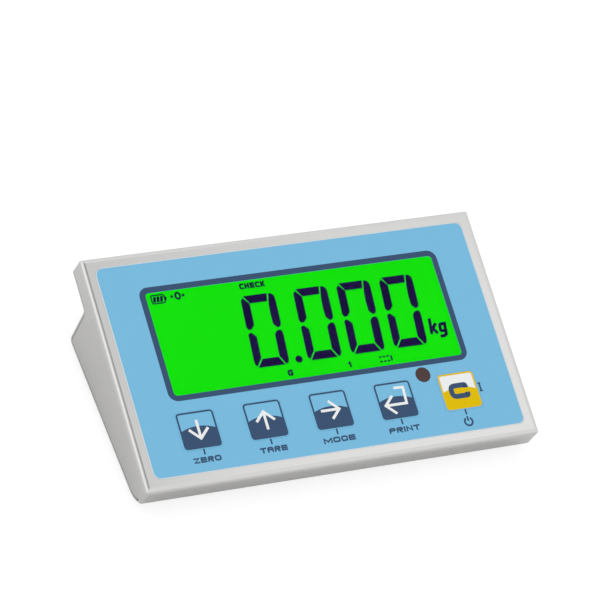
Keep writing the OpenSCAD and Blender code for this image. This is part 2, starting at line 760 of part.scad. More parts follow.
display_header_at = [display_header_low, -board_back - display_header_h / 2];
module display_header() color("ivory") on_panel()
    translate([-ribbon_left, display_header_low + header_size[1] / 2, 0])
        block([header_size[0], header_size[1], display_header_h], board_back);

// The ribbon leaves both headers forwards, and is drawn in the base's frame
ribbon_start = [main_front_y + header_front, main_top + header_size[2] / 2];
ribbon_front_y = ribbon_start[0] - ribbon_reach;
ribbon_end = [base_y(display_header_at), base_z(display_header_at)];
ribbon_path = [ribbon_start, [ribbon_front_y, ribbon_start[1]],
    [ribbon_front_y, ribbon_end[1] + (ribbon_front_y - ribbon_end[0]) * tan(panel_tilt)], ribbon_end];
module ribbon_cable() color("gray") on_base() translate([-ribbon_left, 0, 0]) along_x(ribbon_w)
    polygon(sheet_outline(ribbon_path, [0, ribbon_bend_r, ribbon_bend_r, 0], ribbon_t));

module main_header() color("ivory") on_main()
    translate([main_left - ribbon_left - header_size[0] / 2, header_front, board_t]) cube(header_size);

module main_board() color("darkgreen") difference() {
    on_main() cube([main_w, main_d, board_t]);
    at_main_standoffs() translate([0, 0, -over]) cylinder(r = screw_hole_r, h = board_t + 2 * over);
}

module main_standoffs() color("silver") at_main_standoffs()
    translate([0, 0, -standoff_h]) tube(standoff_r, standoff_bore_r, standoff_h);

// A pan head screw whose head seats at z zero
module inner_screw(length) {
    cylinder(r = screw_head_r, h = screw_head_h);
    translate([0, 0, -length]) cylinder(r = screw_r, h = length);
}
module inner_screws() color("silver") {
    at_main_standoffs() translate([0, 0, board_t]) inner_screw(inner_screw_l);
    at_bracket_standoffs() translate([0, 0, cover_t + strap_foot_h + strap_t])
        inner_screw(strap_t + strap_foot_h - slip);
}

module on_main_top(place) on_main() translate([place[0], place[1], board_t]) children();
module processor() color("black") on_main_top(processor_at) cube(processor_size);

module converter_shield() color("silver") on_main_top(shield_at) difference() {
    cube(shield_size);
    translate([shield_t, shield_t, -over])
        cube([shield_size[0] - 2 * shield_t, shield_size[1] - 2 * shield_t,
            shield_size[2] - shield_t + over]);
}

module terminal_block() difference() {
    cube(terminal_size);
    for (i = [1:terminal_ways]) translate([i * terminal_size[0] / (terminal_ways + 1),
        terminal_size[1] / 2, terminal_size[2] / 3]) {
        rotate([-90, 0, 0]) cylinder(r = terminal_wire_r, h = terminal_size[1]);
        cylinder(r = terminal_wire_r, h = terminal_size[2]);
    }
}
module terminal_blocks() color("green") {
    on_main_top([terminal_left, main_d - terminal_size[1]]) terminal_block();
    on_main_top([terminal_left + entry_pitch, main_d - terminal_size[1]]) terminal_block();
}

module capacitors() color("navy") for (i = [1:capacitor_count])
    on_main_top([main_w - i * capacitor_pitch, main_d - capacitor_back])
        cylinder(r = capacitor_r, h = capacitor_h);

module buzzer() color("black") on_main_top([main_w - buzzer_right, buzzer_front]) difference() {
    cylinder(r = buzzer_r, h = buzzer_h);
    translate([0, 0, buzzer_h / 2]) cylinder(r = buzzer_sound_r, h = buzzer_h);
}

module battery_cells() color("seagreen") on_base() for (i = [0:cell_count - 1])
    translate([pack_left_x, pack_mid_y + (i - (cell_count - 1) / 2) * pack_pitch, pack_z])
        rotate([0, 90, 0]) {
            cylinder(r = cell_r, h = cell_l);
            cylinder(r = cell_nub_r, h = cell_l + cell_nub_h);
        }

module battery_pad() color("dimgray") on_base()
    translate([pack_left_x, pack_mid_y - pack_half + pad_edge, cover_t])
        cube([cell_l, 2 * (pack_half - pad_edge), pad_t]);

// Strap across the pack, with a foot at the front and at the rear
strap_half = pack_half + strap_gap;
strap_top = pack_z + cell_r + strap_gap;
strap_foot_top = cover_t + strap_foot_h;
module battery_bracket() color("silver") difference() {
    on_base() translate([pack_left_x + pack_l / 2, pack_mid_y, 0]) along_x(strap_w) {
        translate([-strap_half - strap_t, strap_top]) square([2 * (strap_half + strap_t), strap_t]);
        for (side = [-1, 1]) {
            translate([side * (strap_half + strap_t / 2), (strap_foot_top + strap_top + strap_t) / 2])
                square([strap_t, strap_top + strap_t - strap_foot_top], center = true);
            translate([side * (strap_half + (strap_t + strap_foot) / 2), strap_foot_top + strap_t / 2])
                square([strap_t + strap_foot, strap_t], center = true);
        }
    }
    at_bracket_standoffs() translate([0, 0, cover_t + strap_foot_h - over])
        cylinder(r = screw_hole_r, h = strap_t + 2 * over);
}

module bracket_standoffs() color("silver") at_bracket_standoffs()
    translate([0, 0, cover_t]) tube(standoff_r, standoff_bore_r, strap_foot_h);

module battery_lead() color("red") on_base() for (side = [-1, 1])
    translate([pack_left_x - lead_l, pack_mid_y + side * lead_inset, pack_z])
        rotate([0, 90, 0]) cylinder(r = lead_r, h = lead_l);

entry_bore_r = cable_r + bore_wall;
entry_flange_top = washer_t + entry_flange_h;
entry_top = entry_flange_top + entry_top_l;
module gland_bodies() color("silver") at_entries(gland_places) difference() {
    union() {
        translate([0, 0, -entry_inner_l]) cylinder(r = entry_r, h = entry_inner_l + washer_t);
        translate([0, 0, washer_t]) hex(entry_af, entry_flange_h);
        cylinder(r = entry_r - slip, h = entry_top);
    }
    translate([0, 0, -entry_inner_l - over]) cylinder(r = entry_bore_r, h = far);
    translate([0, 0, entry_flange_top + seal_start]) cylinder(r = cable_r + seal_wall + slip, h = far);
}

module gland_seals() color("black") at_entries(gland_places)
    translate([0, 0, entry_flange_top + seal_start])
        tube(cable_r + seal_wall, cable_r, entry_top_l - seal_start + seal_proud);

module gland_caps() color("silver") at_entries(gland_places)
    translate([0, 0, entry_flange_top + cap_gap]) difference() {
        intersection() {
            hex(entry_af, cap_l);
            union() {
                cylinder(r = entry_af, h = cap_l - cap_dome_l);
                translate([0, 0, cap_l - cap_dome_l])
                    cylinder(r1 = entry_af / 2 + cap_dome_l / 2, r2 = entry_af / 2 - cap_dome_l,
                        h = cap_dome_l);
            }
        }
        translate([0, 0, -over]) cylinder(r = entry_r + slip, h = cap_l - cap_roof + over);
        cylinder(r = entry_bore_r, h = cap_l + over);
    }

module entry_washers() color("black") at_entries(all_entries)
    tube(entry_r + washer_out, entry_r + slip, washer_t);

module entry_locknuts() color("silver") at_entries(all_entries)
    translate([0, 0, -cover_t - locknut_h]) difference() {
        hex(entry_af, locknut_h);
        translate([0, 0, -over]) cylinder(r = entry_r + slip, h = locknut_h + 2 * over);
    }

module blanking_plug() color("silver") at_entries([plug_at]) union() {
    translate([0, 0, -entry_inner_l]) cylinder(r = entry_r, h = entry_inner_l + washer_t);
    translate([0, 0, washer_t]) hex(entry_af, plug_head_h);
}

module earth_stud() color("gold") on_rear_wall(earth_at) cylinder(r = stud_r, h = stud_l);
module earth_washer() color("gold") on_rear_wall(earth_at)
    tube(stud_washer_r, stud_r + slip, stud_washer_h);
module earth_nut() color("gold") on_rear_wall(earth_at) translate([0, 0, stud_washer_h]) difference() {
    hex(stud_nut_af, stud_nut_h);
    translate([0, 0, -over]) cylinder(r = stud_r + slip, h = stud_nut_h + 2 * over);
}

front_shell();
rear_cover();
cover_gasket();
cover_screws();
press_nuts();
rubber_feet();
bracket_inserts();
overlay();
display_window();
ir_window();
key_zero();
key_tare();
key_mode();
key_print();
key_clear();
keypad_spacer();
keypad_circuit();
switch_contacts();
keypad_tail();
tail_connector();
display_gasket();
front_glass();
display_segments();
rear_glass();
reflector_film();
backlight_guide();
backlight_lamps();
display_frame();
contact_strip();
display_board();
display_standoffs();
display_nuts();
display_driver();
ir_receiver();
display_header();
ribbon_cable();
main_header();
main_board();
main_standoffs();
inner_screws();
processor();
converter_shield();
terminal_blocks();
capacitors();
buzzer();
battery_cells();
battery_pad();
battery_bracket();
bracket_standoffs();
battery_lead();
gland_bodies();
gland_seals();
gland_caps();
entry_washers();
entry_locknuts();
blanking_plug();
earth_stud();
earth_washer();
earth_nut();
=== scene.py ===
import json
import math

import bmesh
import bpy
from mathutils import Matrix, Vector


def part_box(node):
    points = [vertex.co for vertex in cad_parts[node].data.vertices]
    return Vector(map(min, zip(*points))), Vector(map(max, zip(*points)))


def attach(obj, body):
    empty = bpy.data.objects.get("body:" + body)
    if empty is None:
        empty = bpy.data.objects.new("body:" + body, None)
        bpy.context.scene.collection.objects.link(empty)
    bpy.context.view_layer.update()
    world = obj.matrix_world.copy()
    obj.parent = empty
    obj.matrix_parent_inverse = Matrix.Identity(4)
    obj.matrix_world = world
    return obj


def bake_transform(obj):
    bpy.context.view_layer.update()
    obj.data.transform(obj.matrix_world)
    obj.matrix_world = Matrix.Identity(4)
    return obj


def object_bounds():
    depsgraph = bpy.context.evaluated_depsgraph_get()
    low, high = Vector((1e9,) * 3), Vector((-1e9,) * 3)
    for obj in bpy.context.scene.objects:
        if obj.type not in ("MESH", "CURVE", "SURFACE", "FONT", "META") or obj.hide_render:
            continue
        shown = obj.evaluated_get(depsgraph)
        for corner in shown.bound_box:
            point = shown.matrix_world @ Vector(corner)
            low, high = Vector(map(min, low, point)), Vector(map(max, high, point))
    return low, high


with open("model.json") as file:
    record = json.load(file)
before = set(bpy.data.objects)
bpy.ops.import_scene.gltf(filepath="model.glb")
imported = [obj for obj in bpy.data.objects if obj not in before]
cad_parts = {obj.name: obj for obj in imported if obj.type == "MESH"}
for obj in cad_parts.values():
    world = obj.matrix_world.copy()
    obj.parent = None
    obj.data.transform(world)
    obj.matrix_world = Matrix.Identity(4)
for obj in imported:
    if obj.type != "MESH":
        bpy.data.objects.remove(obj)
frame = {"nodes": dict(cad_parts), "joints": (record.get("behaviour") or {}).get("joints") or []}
cad_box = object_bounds()
scene = bpy.context.scene
nodes = frame["nodes"]

MM = 0.001
PLAIN_WHITE = (1, 1, 1, 1)


# The panel's own frame, in millimetres, from the middle of the overlay's face:
# x runs to the right, y up the panel and z out of it

OVERLAY_T = 0.4
panel_z = -Vector(frame["joints"][0]["axis"]).normalized()
panel_x = Vector((1, 0, 0))
panel_y = panel_z.cross(panel_x)
overlay_low, overlay_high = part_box("overlay")
PANEL = (
    Matrix.Translation((overlay_low + overlay_high) / 2 + panel_z * OVERLAY_T / 2 * MM)
    @ Matrix((panel_x, panel_y, panel_z)).transposed().to_4x4()
    @ Matrix.Scale(MM, 4)
)


def on_panel(node):
    """The lowest and highest corner of a CAD node in the panel's frame."""
    back = PANEL.inverted()
    places = [back @ v.co for v in nodes[node].data.vertices]
    return [Vector(f(p[i] for p in places) for i in range(3)) for f in (min, max)]


# Camera at the photograph's viewing angle

CAMERA_RIGHT = Vector((0.9025, -0.3436, 0.2597))
CAMERA_BACK = Vector((-0.4127, -0.5178, 0.7494))
CAMERA_PLACE = Vector((-0.794, -0.9738, 1.4830))
LENS, SENSOR_W = 229.1, 36


def make_camera():
    right, back = CAMERA_RIGHT.normalized(), CAMERA_BACK.normalized()
    up = back.cross(right).normalized()
    data = bpy.data.cameras.new("photo_camera")
    data.sensor_width = SENSOR_W
    data.lens = LENS
    camera = bpy.data.objects.new("photo_camera", data)
    scene.collection.objects.link(camera)
    turn = Matrix((up.cross(back), up, back)).transposed().to_4x4()
    camera.matrix_world = Matrix.Translation(CAMERA_PLACE) @ turn
    scene.camera = camera


make_camera()


# Materials

def linear(*srgb):
    """A colour written in 0 to 255 screen values, as the shader's linear colour."""
    return [(c / 255 / 12.92 if c < 11 else ((c / 255 + 0.055) / 1.055) ** 2.4) for c in srgb] + [1]


def scaled(colour, k):
    return [min(c * k, 1) for c in colour[:3]] + [1]


class Nodes:
    """A material's or world's node tree, with short calls for the nodes used here."""

    def __init__(self, owner):
        owner.use_nodes = True
        self.tree = owner.node_tree
        self.tree.nodes.clear()

    def add(self, kind, settings=(), **sockets):
        node = self.tree.nodes.new("ShaderNode" + kind)
        for key, value in dict(settings).items():
            setattr(node, key, value)
        for key, value in sockets.items():
            self.put(value, node.inputs[key.replace("_", " ")])
        return node

    def put(self, value, socket):
        if isinstance(value, bpy.types.NodeSocket):
            self.tree.links.new(value, socket)
        else:
            socket.default_value = value

    def fill(self, node, *values):
        """The node's first sockets, filled in order."""
        for value, socket in zip(values, node.inputs):
            self.put(value, socket)
        return node

    def math(self, operation, a, b=0.0):
        return self.fill(self.add("Math", {"operation": operation}), a, b).outputs[0]

    def dot(self, a, b):
        return self.fill(self.add("VectorMath", {"operation": "DOT_PRODUCT"}), a, b).outputs["Value"]

    def blend(self, share, a, b, kind="FLOAT"):
        """From a to b, as numbers or as colours."""
        node = self.add("Mix", {"data_type": kind})
        slots = {"FLOAT": (0, 2, 3), "RGBA": (0, 6, 7)}[kind]
        for value, slot in zip((share, a, b), slots):
            self.put(value, node.inputs[slot])
        return node.outputs[{"FLOAT": 0, "RGBA": 2}[kind]]

    def noise(self, size, stretch=(1, 1, 1), detail=3.0):
        """Noise with features of that size in millimetres, drawn out by stretch along each axis."""
        place = self.add("TexCoord").outputs["Object"]
        place = self.add("Mapping", Vector=place, Scale=[1 / (size * MM * s) for s in stretch]).outputs[0]
        return self.add("TexNoise", Vector=place, Scale=1.0, Detail=detail, Roughness=0.55).outputs["Fac"]

    def ranged(self, noise, low, high):
        """Noise, which seldom leaves 0.3 to 0.7, spread from low to high."""
        return self.fill(self.add("MapRange"), noise, 0.3, 0.7, low, high).outputs[0]

    def mottled(self, share, a, b):
        """Noise a with that share of noise b, each spread over 0 to 1."""
        return self.blend(share, self.ranged(a, 0.0, 1.0), self.ranged(b, 0.0, 1.0))

    def tinted(self, tone, colour, darkest, lightest):
        """The colour, scaled from darkest to lightest where tone runs from 0 to 1."""
        return self.blend(tone, scaled(colour, darkest), scaled(colour, lightest), "RGBA")

    def relief(self, height, depth):
        """A bump of that depth in millimetres."""
        return self.add("Bump", Strength=1.0, Distance=depth * MM, Height=height).outputs[0]

    def mixed(self, share, a, b):
        return self.fill(self.add("MixShader"), share, a.outputs[0], b.outputs[0])

    def close(self, shader, kind="Material"):
        self.tree.links.new(shader.outputs[0], self.add("Output" + kind).inputs["Surface"])


# Size of the slow patches in a finish, their share in its colour, and how far its gloss varies
PATCH, PATCH_SHARE, UNEVEN = 12.0, 0.35, 0.04


def surface(name, colour, rough, metal=0.0, grain=0.3, spread=0.05, bump=0.004, specular=0.5, coat=0.0):
    """A solid finish: fine grain in the colour and the relief, and slow patches in the colour and the gloss.

    Grain and bump are in millimetres, and spread is how far the colour varies."""
    mat = bpy.data.materials.new(name)
    n = Nodes(mat)
    fine = n.noise(grain)
    slow = n.noise(PATCH, detail=5.0)
    n.close(n.add(
        "BsdfPrincipled",
        Base_Color=n.tinted(n.mottled(PATCH_SHARE, fine, slow), colour, 1 - spread, 1 + spread),
        Metallic=metal, Normal=n.relief(fine, bump),
        Roughness=n.ranged(slow, rough - UNEVEN, rough + UNEVEN),
        Specular_IOR_Level=specular, Coat_Weight=coat,
    ))
    return mat


def printed(name, colour, spread, specular=0.12):
    """Ink on matt film."""
    return surface(name, colour, 0.5, grain=0.12, spread=spread, bump=0.0015, specular=specular)


# Width of the brushed lines, how many times longer they are, their depth and how far their colour varies
LINE_W, LINE_STRETCH, LINE_DEPTH, LINE_SPREAD = 0.12, 160, 0.0012, 0.035
# Size of the sheet's slow patches, their share in its colour, and how far lines and patches vary the gloss
SHEET_PATCH, SHEET_SHARE, LINE_GLOSS, PATCH_GLOSS = 22.0, 0.3, 0.05, 0.04
# A face is a side when its normal lies along x by more than this cosine
SIDE_COSINE = 0.7


def brushed(name, colour, rough):
    """Brushed sheet: its lines run along the part, and from front to back on its sides."""
    mat = bpy.data.materials.new(name)
    n = Nodes(mat)
    normal = n.add("NewGeometry").outputs["True Normal"]
    sideways = n.math("GREATER_THAN", n.math("ABSOLUTE", n.dot(normal, (1, 0, 0))), SIDE_COSINE)
    along = n.noise(LINE_W, (LINE_STRETCH, 1, 1), 2.0)
    across = n.noise(LINE_W, (1, LINE_STRETCH, 1), 2.0)
    lines = n.blend(sideways, along, across)
    slow = n.noise(SHEET_PATCH, detail=6.0)
    gloss = n.blend(
        0.5, n.ranged(lines, rough - LINE_GLOSS, rough + LINE_GLOSS),
        n.ranged(slow, rough - PATCH_GLOSS, rough + PATCH_GLOSS),
    )
    n.close(n.add(
        "BsdfPrincipled", Metallic=1.0, Roughness=gloss, Normal=n.relief(lines, LINE_DEPTH),
        Base_Color=n.tinted(n.mottled(SHEET_SHARE, lines, slow), colour, 1 - LINE_SPREAD, 1 + LINE_SPREAD),
    ))
    return mat


PANE_IOR = 1.06
# Size and height of a pane's waves, and how much hazier it gets at most
WAVE, WAVE_HEIGHT, HAZIEST = 30.0, 0.002, 1.6


def pane(name, colour, haze):
    """A clear sheet: what lies behind shows as it is, with a faint reflection that grows at a flat angle.

    Only its front faces reflect, because the light isn't bent inside it."""
    mat = bpy.data.materials.new(name)
    n = Nodes(mat)
    slow = n.noise(WAVE, detail=4.0)
    gloss = n.add("BsdfGlossy", Roughness=n.ranged(slow, haze, haze * HAZIEST), Color=PLAIN_WHITE,
                  Normal=n.relief(slow, WAVE_HEIGHT))
    clear = n.add("BsdfTransparent", Color=colour)
    front = n.math("SUBTRACT", 1.0, n.add("NewGeometry").outputs["Backfacing"])
    share = n.math("MULTIPLY", n.add("Fresnel", IOR=PANE_IOR).outputs[0], front)
    n.close(n.mixed(share, clear, gloss))
    return mat


# Size of the lit film's patches and of its grain, the grain's share, and its dimmest and brightest glow
GLOW_PATCH, GLOW_GRAIN, GRAIN_SHARE, DIMMEST, BRIGHTEST = 45.0, 0.25, 0.25, 0.975, 1.02


def lit_film(name, glow):
    """Dark film that glows through the clear cell, a little unevenly, as a side-lit guide does."""
    mat = bpy.data.materials.new(name)
    n = Nodes(mat)
    slow = n.noise(GLOW_PATCH, detail=2.0)
    fine = n.noise(GLOW_GRAIN, detail=2.0)
    n.close(n.add(
        "BsdfPrincipled", Base_Color=(0.004, 0.02, 0.004, 1), Roughness=0.6, Specular_IOR_Level=0.05,
        Emission_Color=n.tinted(n.mottled(GRAIN_SHARE, slow, fine), glow, DIMMEST, BRIGHTEST),
        Emission_Strength=1.0, Normal=n.relief(fine, 0.004),
    ))
    return mat


STEEL = (0.66, 0.655, 0.65, 1)
BLUE = linear(122, 189, 225)
NAVY = linear(56, 81, 113)
INK = linear(27, 4, 72)
GREEN = (0.006, 0.755, 0.003, 1)
YELLOW = linear(226, 191, 2)
WHITE = linear(240, 242, 241)

# One finish for each of the record's slots
FINISH = {
    "shell_steel": brushed("satin_shell", STEEL, 0.22),
    "cover_steel": brushed("satin_cover", scaled(STEEL, 0.93), 0.26),
    "screw_steel": surface("turned_steel", (0.6, 0.6, 0.59, 1), 0.27, metal=1.0, grain=0.15),
    "frame_steel": surface("tinned_sheet", (0.68, 0.68, 0.66, 1), 0.33, metal=1.0, grain=1.2, spread=0.08),
    "seal_rubber": surface("sponge_rubber", (0.035, 0.035, 0.037, 1), 0.85, grain=0.25, spread=0.25,
                           bump=0.03),
    "foot_rubber": surface("foot_rubber", (0.022, 0.022, 0.024, 1), 0.75, grain=0.4, spread=0.3, bump=0.02),
    "overlay_print": printed("overlay_film", BLUE, 0.012),
    "key_print_blue": printed("navy_print", NAVY, 0.03),
    "key_print_yellow": printed("yellow_print", YELLOW, 0.015, specular=0.06),
    "clear_window": pane("clear_window", (0.995, 1, 0.995, 1), 0.05),
    "ir_plastic": surface("dark_filter", linear(74, 54, 53), 0.3, grain=0.6, spread=0.06, bump=0.001,
                          specular=0.2),
    "keypad_film": surface("clear_matt_film", (0.75, 0.76, 0.78, 1), 0.55, grain=0.2, spread=0.03),
    "silver_contact": surface("printed_silver", (0.7, 0.7, 0.7, 1), 0.42, metal=1.0, grain=0.1, spread=0.1),
    "amber_film": surface("amber_film", (0.55, 0.22, 0.03, 1), 0.3, grain=0.5, spread=0.1, coat=0.3),
    "connector_plastic": surface("ivory_nylon", (0.8, 0.77, 0.68, 1), 0.38, spread=0.03, bump=0.005),
    "display_glass": pane("display_glass", (0.99, 1, 0.99, 1), 0.02),
    "segment_ink": surface("liquid_crystal", scaled(INK, 0.9), 0.6, grain=0.2, spread=0.08, specular=0.05),
    "display_green": lit_film("lit_green_film", GREEN),
    "light_guide": surface("frosted_acrylic", (0.78, 0.86, 0.78, 1), 0.5, grain=0.35, spread=0.04, bump=0.01),
    "lamp_plastic": surface("lamp_body", (0.86, 0.82, 0.5, 1), 0.3, grain=0.4, coat=0.4),
    "board_laminate": surface("solder_mask", (0.015, 0.13, 0.05, 1), 0.34, grain=0.7, spread=0.25, bump=0.02),
    "chip_plastic": surface("moulded_epoxy", (0.02, 0.02, 0.022, 1), 0.6, grain=0.15, spread=0.3, bump=0.008),
    "ribbon_plastic": surface("ribbon_sleeve", (0.34, 0.34, 0.36, 1), 0.5, grain=1.27, spread=0.12,
                              bump=0.05),
    "terminal_plastic": surface("green_nylon", (0.03, 0.31, 0.09, 1), 0.42, spread=0.08, bump=0.006),
    "capacitor_can": surface("sleeved_can", (0.05, 0.06, 0.2, 1), 0.28, grain=0.8, spread=0.1, coat=0.4),
    "cell_sleeve": surface("shrink_sleeve", (0.05, 0.31, 0.15, 1), 0.3, grain=1.5, spread=0.08, coat=0.5),
    "lead_plastic": surface("lead_sleeve", (0.42, 0.04, 0.03, 1), 0.42, grain=0.4, spread=0.08),
    "entry_nickel": surface("bright_nickel", (0.66, 0.62, 0.55, 1), 0.2, metal=1.0),
    "brass_parts": surface("turned_brass", (0.75, 0.55, 0.24, 1), 0.27, metal=1.0, grain=0.25, spread=0.07),
}

for node in nodes.values():
    for material_slot in node.material_slots:
        slot_name = material_slot.material.name.split(".")[0]
        material_slot.material = FINISH[slot_name]

white_print = printed("white_print", WHITE, 0.012)
# The overlay's cut edge in a pale colour: a painted highlight along the edge, which also hides the shade in
# the gap round the overlay
edge_film_and_highlight = surface("film_edge_with_painted_highlight", linear(222, 226, 226), 0.45, spread=0.03, specular=0.3)


# Flat prints, as thin plates built from strips and outlines in the panel's frame.
# A strip is its two edges and whether it closes, and an outline is a plain list of points.

# How far a print reaches into what carries it, and out of it
PRINT_IN, PRINT_OUT = 0.02, 0.03
# A strip's corner is a full mitre down to this cosine of half its turn, and blunt beyond
SHARPEST = 0.62


def rounded(points, radius, closed=False, steps=7):
    """The path with each corner replaced by a short curve."""
    path = []
    last = len(points) - 1
    for i, point in enumerate(points):
        if not closed and i in (0, last):
            path.append(Vector(point))
            continue
        here, before, after = (Vector(points[j % len(points)]) for j in (i, i - 1, i + 1))
        a, b = before - here, after - here
        cut = min(radius, a.length / 2, b.length / 2)
        a, b = here + a.normalized() * cut, here + b.normalized() * cut
        for k in range(steps + 1):
            t = k / steps
            path.append(a * (1 - t) ** 2 + here * 2 * t * (1 - t) + b * t * t)
    return path


def arc(half_w, half_h, start, sweep, steps):
    """Points on an ellipse, from start through sweep degrees."""
    angles = [math.radians(start + sweep * k / steps) for k in range(steps + 1)]
    return [Vector((half_w * math.cos(a), half_h * math.sin(a))) for a in angles]


def stroke(points, width, closed=False):
    """A strip of that width along a path, mitred at its corners."""
    points = [Vector(p) for p in points]
    count = len(points)
    left, right = [], []
    for i, p in enumerate(points):
        ways = []
        if i > 0 or closed:
            ways.append((p - points[i - 1]).normalized())
        if i < count - 1 or closed:
            ways.append((points[(i + 1) % count] - p).normalized())
        sides = [Vector((-w.y, w.x)) for w in ways]
        mitre = sum(sides, Vector((0, 0))).normalized()
        reach = width / 2 / max(mitre.dot(sides[0]), SHARPEST)
        left.append(p + mitre * reach)
        right.append(p - mitre * reach)
    return left, right, closed


def box_loop(low, high, radius, steps=8):
    """A rounded rectangle's outline, with the same number of points whatever its size."""
    corners = ((high, high, -1, -1), (low, high, 1, -1), (low, low, 1, 1), (high, low, -1, 1))
    loop = []
    for quarter, (across, up, x_in, y_in) in enumerate(corners):
        mid = Vector((across[0] + x_in * radius, up[1] + y_in * radius))
        for point in arc(radius, radius, 90 * quarter, 90, steps):
            loop.append(mid + point)
    return loop


def moved(shapes, offset=(0, 0), turn=0.0):
    """The same shapes, turned about the origin by degrees and then moved."""
    spin = Matrix.Rotation(math.radians(turn), 2)

    def place(points):
        return [spin @ Vector(p) + Vector(offset) for p in points]

    return [(place(s[0]), place(s[1]), s[2]) if isinstance(s, tuple) else place(s) for s in shapes]


def as_piece(name, mesh, finish):
    """A new piece from a mesh that was drawn in the panel's frame."""
    bmesh.ops.recalc_face_normals(mesh, faces=mesh.faces)
    mesh.transform(PANEL)
    data = bpy.data.meshes.new(name)
    mesh.to_mesh(data)
    mesh.free()
    data.materials.append(finish)
    piece = bpy.data.objects.new(name, data)
    scene.collection.objects.link(piece)
    return piece


def plate(name, shapes, low, high, finish, body):
    """One thin piece from strips and outlines, from height low to height high."""
    mesh = bmesh.new()

    def points(path, z):
        return [mesh.verts.new((x, y, z)) for x, y in path]

    for shape in shapes:
        if not isinstance(shape, tuple):
            base, top = points(shape, low), points(shape, high)
            mesh.faces.new(base)
            mesh.faces.new(top)
            for i in range(len(base)):
                mesh.faces.new((base[i - 1], base[i], top[i], top[i - 1]))
            continue
        left, right, closed = shape
        rails = [points(left, low), points(left, high), points(right, high), points(right, low)]
        count = len(left)
        for i in range(count if closed else count - 1):
            j = (i + 1) % count
            for a, b in zip(rails, rails[1:] + rails[:1]):
                mesh.faces.new((a[i], a[j], b[j], b[i]))
        if not closed:
            for i in (0, count - 1):
                mesh.faces.new([rail[i] for rail in rails])
    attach(as_piece(name, mesh, finish), body)


def letter(char, w, h, t):
    """Centre lines of a plain square letter in a box w by h, for strokes t wide."""
    # Left and right lines, and the bottom, middle and upper ones
    l, r, b, m, u = t / 2, w - t / 2, t / 2, h / 2, h - t / 2
    bowl = [(l, 0), (l, u), (r, u), (r, m), (t, m)]
    return {
        "A": [[(l, 0), (l, u), (r, u), (r, 0)], [(t, m), (w - t, m)]],
        "C": [[(w, b), (l, b), (l, u), (w, u)]],
        "D": [[(l, b), (l, u), (r, u), (r, b), (l, b)]],
        "E": [[(w, b), (l, b), (l, u), (w, u)], [(t, m), (w, m)]],
        "G": [[(w, u), (l, u), (l, b), (r, b), (r, m), (w / 2, m)]],
        "H": [[(l, 0), (l, h)], [(r, 0), (r, h)], [(t, m), (w - t, m)]],
        "I": [[(w / 2, 0), (w / 2, h)]],
        "K": [[(l, 0), (l, h)], [(r, h), (t * 1.3, m), (r, 0)]],
        "M": [[(l, 0), (l, u), (w / 2, b + t / 2), (r, u), (r, 0)]],
        "N": [[(l, 0), (l, u), (r, b), (r, h)]],
        "O": [[(l, b), (l, u), (r, u), (r, b), (l, b)]],
        "P": [bowl],
        "R": [bowl, [(w / 2, m - t / 2), (r, 0)]],
        "T": [[(0, u), (w, u)], [(w / 2, 0), (w / 2, h - t)]],
        "Z": [[(0, u), (r, u), (l, b), (w, b)]],
    }[char]


# How wide a letter is against most others; an I is as wide as its stroke
LETTER_SHARES = {"I": 0.0, "M": 1.3, "O": 1.08}
SHARP_LETTERS = "ZNMEHKT"


def word(text, left, right, middle, height, t, gap, bend):
    """Letters that fill the width from left to right, in strokes t wide, with corners of radius bend."""
    total = sum(LETTER_SHARES.get(c, 1.0) for c in text)
    unit = (right - left - gap * (len(text) - 1) - t * text.count("I")) / total
    shapes, x = [], left
    for c in text:
        w = t if c == "I" else unit * LETTER_SHARES.get(c, 1.0)
        for path in letter(c, w, height, t):
            closed = path[0] == path[-1]
            path = path[:-1] if closed else path
            path = path if c in SHARP_LETTERS else rounded(path, bend, closed)
            shapes += moved([stroke(path, t, closed)], (x, middle - height / 2))
        x += w + gap
    return shapes


# Overlay print: the window's border, the labels under the keys, and a pale strip on the overlay's cut edge
# whose light colour is a painted highlight and covers the shade in the gap round it

WINDOW_LOW, WINDOW_HIGH, WINDOW_R = Vector((-80, -15.6)), Vector((80, 40.6)), 2.0
BORDER_LOW, BORDER_HIGH, BORDER_R = Vector((3.2, 2.9)), Vector((2.9, 3.1)), 5.0
# Where each label starts and ends; its middle's height, and its letters' height, stroke, gap and corners
LABELS = {"ZERO": (-80.0, -65.2), "TARE": (-44.1, -29.3), "MODE": (-9.4, 8.1), "PRINT": (27.1, 44.3)}
LABEL_Y, LABEL_H, LABEL_T, LABEL_GAP, LABEL_BEND = -50.7, 2.95, 0.87, 0.5, 0.7
# The tick over a label: how far it is from the key's middle, its top, its foot and its width
TICK_RIGHT, TICK_TOP, TICK_FOOT, TICK_T = -0.2, -44.9, -48.0, 0.9
POWER_PLACE, POWER_R, POWER_START, POWER_SWEEP = (71.6, -51.9), 2.15, 122, 296
POST_PLACE = (83.9, -34.4)
# Radius of the overlay's corners, and how far the pale strip on its cut edge (a painted highlight over the
# gap's shade) reaches out, in and down
OVERLAY_R, EDGE_OUT, EDGE_IN, EDGE_DEPTH = 4.0, 0.15, 0.3, 0.3


